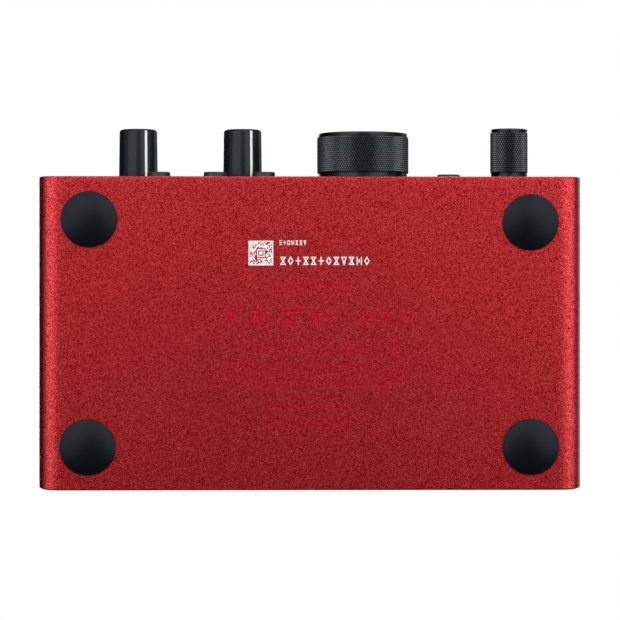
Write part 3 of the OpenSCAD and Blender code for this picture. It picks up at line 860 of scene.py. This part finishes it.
# %% Faint red marks
ink = Drawing(on_underside)
for x0, x1, y in ((-23, -18.5, 32.6), (-11, 13, 35.6), (-14, 15, 38.4)):
    ink.fine_row(x0, x1, y, 0.9)
for kind, x, width in (("diamond", -28.8, 5.2), ("box", -19.4, 5.0), ("glass", -9.4, 5.6),
                       ("rungs", 5.6, 4.2), ("cross", 16.3, 5.4), ("wedge", 23.4, 3.2)):
    ink.mark(kind, x, 43.4, width, 5.6, 0.75)
ink.disc(-26.2, 46.2, 1.1)
ink.mark("rungs", -18.1, 45.0, 2.4, 2.6, 0.5)
ink.ring(2.2, 46.2, 2.6, 0.75)
ink.disc(2.2, 46.2, 1.0)
ink.ring(28.6, 46.2, 2.4, 0.75, start=-90, sweep=180)
for y in (54.6, 56.7, 58.8):
    ink.fine_row(-19.5, 7.0, y, 0.85)
    ink.fine_row(9.4, 23.8, y, 0.85)
ink.mark("box", 26.6, 54.4, 3.2, 5.2, 0.7)
for y in (62.0, 63.9, 65.8, 67.8):
    ink.fine_row(-29.2, 19.5, y, 0.8)
ink.ring(24.4, 66.6, 2.4, 0.8)
ink.mark("posts", 27.3, 64.2, 2.8, 4.8, 0.7)
ink.fine_row(-8.5, 9.0, 73.1, 1.0)
ink.fine_row(-14.5, 14.4, 76.0, 1.1)
ink.marks(-14.6, 79.5, 4.6, 6, 4.95, 0.7)
red = ink.done("red_gloss_print", "case_red", print_red)
print("red print faces", len(red.data.polygons))

# %% [markdown]
# The two black ends carry a few plain pale marks: a ring of ticks round the output knob and round
# the headphone knob, one dot for the first input and two for the second, and a short mark by each
# other socket. They are placed from the boxes of the pieces that they belong to.

# %% Marks on the two ends
def middle_of(node):
    low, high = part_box(node)
    return (low[0] + high[0]) / 2 / MM, (low[2] + high[2]) / 2 / MM


panel_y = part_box("front_panel")[0][1]


def on_front(x, z, lift):
    return (x * MM, panel_y + lift, z * MM)


def on_rear(x, z, lift):
    inset = 1 * MM * math.hypot(1, lean)
    return (x * MM, rear_foot - (z * MM - under_z) * lean - inset + lift, z * MM)


def dots(ink, node, below, count):
    x, z = middle_of(node)
    for i in range(count):
        ink.disc(x + (i - (count - 1) / 2) * 1.8, z - below, 0.45)


def ticks(ink, node, inner, outer, count):
    x, z = middle_of(node)
    for i in range(count):
        a = math.radians(-150 + 300 * i / (count - 1))
        ink.stroke(x + inner * math.sin(a), z + inner * math.cos(a),
                   x + outer * math.sin(a), z + outer * math.cos(a), 0.3)


ink = Drawing(on_front)
ticks(ink, "output_knob", 18.4, 19.3, 11)
ticks(ink, "headphone_knob", 7.9, 8.6, 11)
for number in (1, 2):
    dots(ink, f"input_jack_{number}", 10.5, number)
x, z = middle_of("headphone_jack")
ink.ring(x - 10.6, z, 1.3, 0.3, start=0, sweep=180)
ink.bar(x - 11.95, z - 0.9, 0.6, 1.1)
ink.bar(x - 9.85, z - 0.9, 0.6, 1.1)
front_marks = ink.done("front_marks", "front_black", print_white)
ink = Drawing(on_rear)
for number in (1, 2):
    dots(ink, f"xlr_insert_{number}", 15.5, number)
for node in ("line_jack_left", "line_jack_right"):
    x, z = middle_of(node)
    ink.mark("posts" if node.endswith("left") else "box", x - 0.8, z - 12.5, 1.6, 1.6, 0.3)
low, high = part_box("usb_sockets")
for share in (0.2, 0.8):
    x = (low[0] + (high[0] - low[0]) * share) / MM
    ink.mark("diamond", x - 0.9, low[2] / MM - 4.2, 1.8, 1.8, 0.3)
rear_marks = ink.done("rear_marks", "rear_black", print_white)
print("end marks", len(front_marks.data.polygons), len(rear_marks.data.polygons))

# %% [markdown]
# The room is a pale one. Because the object is seen from below, the floor is far beneath it,
# behind the viewer, and only the white of the room is above. The floor is pale to the viewer and
# dim to the object, because a polished underside would mirror it: a Light Path node tells the two
# apart.

# %% Floor
def plane(name, size, z, material):
    bm = bmesh.new()
    half = size / 2
    bm.faces.new([bm.verts.new((sx * half, sy * half, z))
                  for sx, sy in ((-1, -1), (1, -1), (1, 1), (-1, 1))])
    mesh = bpy.data.meshes.new(name)
    bm.to_mesh(mesh)
    bm.free()
    made = bpy.data.objects.new(name, mesh)
    mesh.materials.append(material)
    bpy.context.scene.collection.objects.link(made)
    return made


def pale_floor():
    finish = Finish("pale_floor")
    finish.set(Base_Color=(0.30, 0.30, 0.30), Roughness=0.6)
    seen = finish.node("ShaderNodeLightPath", {}, {}, "Is Camera Ray")
    shade = finish.noise(0.8, 2)
    shown = finish.node("ShaderNodeEmission", {}, {
        "Color": finish.blend(shade, (0.74, 0.74, 0.75), (0.80, 0.80, 0.80))})
    mixed = finish.node("ShaderNodeMixShader", {}, {
        0: seen, 1: Wire(finish, finish.surface.outputs[0]), 2: shown})
    finish.tree.links.new(mixed.socket, finish.tree.nodes["Material Output"].inputs["Surface"])
    return finish.material


floor_size = 12
floor_z = -1.7
plane("floor", floor_size, floor_z, pale_floor())
print("floor at", floor_z, "m")

# %% [markdown]
# A flat satin underside shows whatever lies round the viewer, so the lights are wide and soft. Two
# panels stand to the left and right of the viewer: they fill the underside, and draw the bright
# bands along its side edges. A weaker one stands towards the front. Two walls and a rim light shape
# the rounded sides, and the last three serve the views from above. All of them aim at the object,
# and a row of numbers for each is easier to balance than nine lamps in nine places of the script.

# %% Lights
# For each light: its place in metres, its two sizes in metres, and its power in watts
lights = {
    "left_panel": ((-0.58, -0.35, -0.82), (1.4, 0.88), 7.4),
    "right_panel": ((0.60, -0.35, -0.82), (1.4, 0.88), 7.9),
    "front_panel_light": ((0.0, -0.60, -0.81), (1.2, 1.0), 2.2),
    "left_wall": ((-1.10, -0.20, -0.35), (1.6, 0.8), 1.8),
    "right_wall": ((1.10, -0.20, -0.35), (1.6, 0.8), 2.3),
    "right_rim": ((0.80, -0.10, 0.60), (1.0, 0.3), 1.0),
    "over_head": ((0.0, -0.2, 1.6), (1.2, 0.9), 14),
    "over_front": ((0.3, -1.5, 0.8), (1.0, 2.4), 9),
    "over_rear": ((-0.3, 1.5, 0.8), (1.0, 2.4), 9),
}


def soft_light(name, place, size, power):
    lamp = bpy.data.lights.new(name, "AREA")
    lamp.shape = "RECTANGLE"
    lamp.size, lamp.size_y = size
    lamp.energy = power
    made = bpy.data.objects.new(name, lamp)
    made.location = place
    made.rotation_euler = (Vector() - Vector(place)).to_track_quat("-Z", "Y").to_euler()
    bpy.context.scene.collection.objects.link(made)


for name, (place, size, power) in lights.items():
    soft_light(name, place, size, power)
print("lights", len(lights))

# %% [markdown]
# The world is white where the viewer looks past the object, and almost black to the object itself,
# so that the lamps alone shape it. A white sheet behind the object could do the same, but it would
# show in every other view.

# %% World
def set_world(for_object, for_viewer):
    world = bpy.data.worlds.new("room")
    bpy.context.scene.world = world
    world.use_nodes = True
    tree = world.node_tree
    sky = tree.nodes["Background"]
    path = tree.nodes.new("ShaderNodeLightPath")
    level = tree.nodes.new("ShaderNodeMapRange")
    level.inputs["To Min"].default_value = for_object
    level.inputs["To Max"].default_value = for_viewer
    tree.links.new(path.outputs["Is Camera Ray"], level.inputs["Value"])
    tree.links.new(level.outputs["Result"], sky.inputs["Strength"])
    sky.inputs["Color"].default_value = (1, 1, 1, 1)
    bpy.context.scene.view_settings.view_transform = "Standard"


set_world(0.035, 1.0)
print("world", bpy.context.scene.world.name)
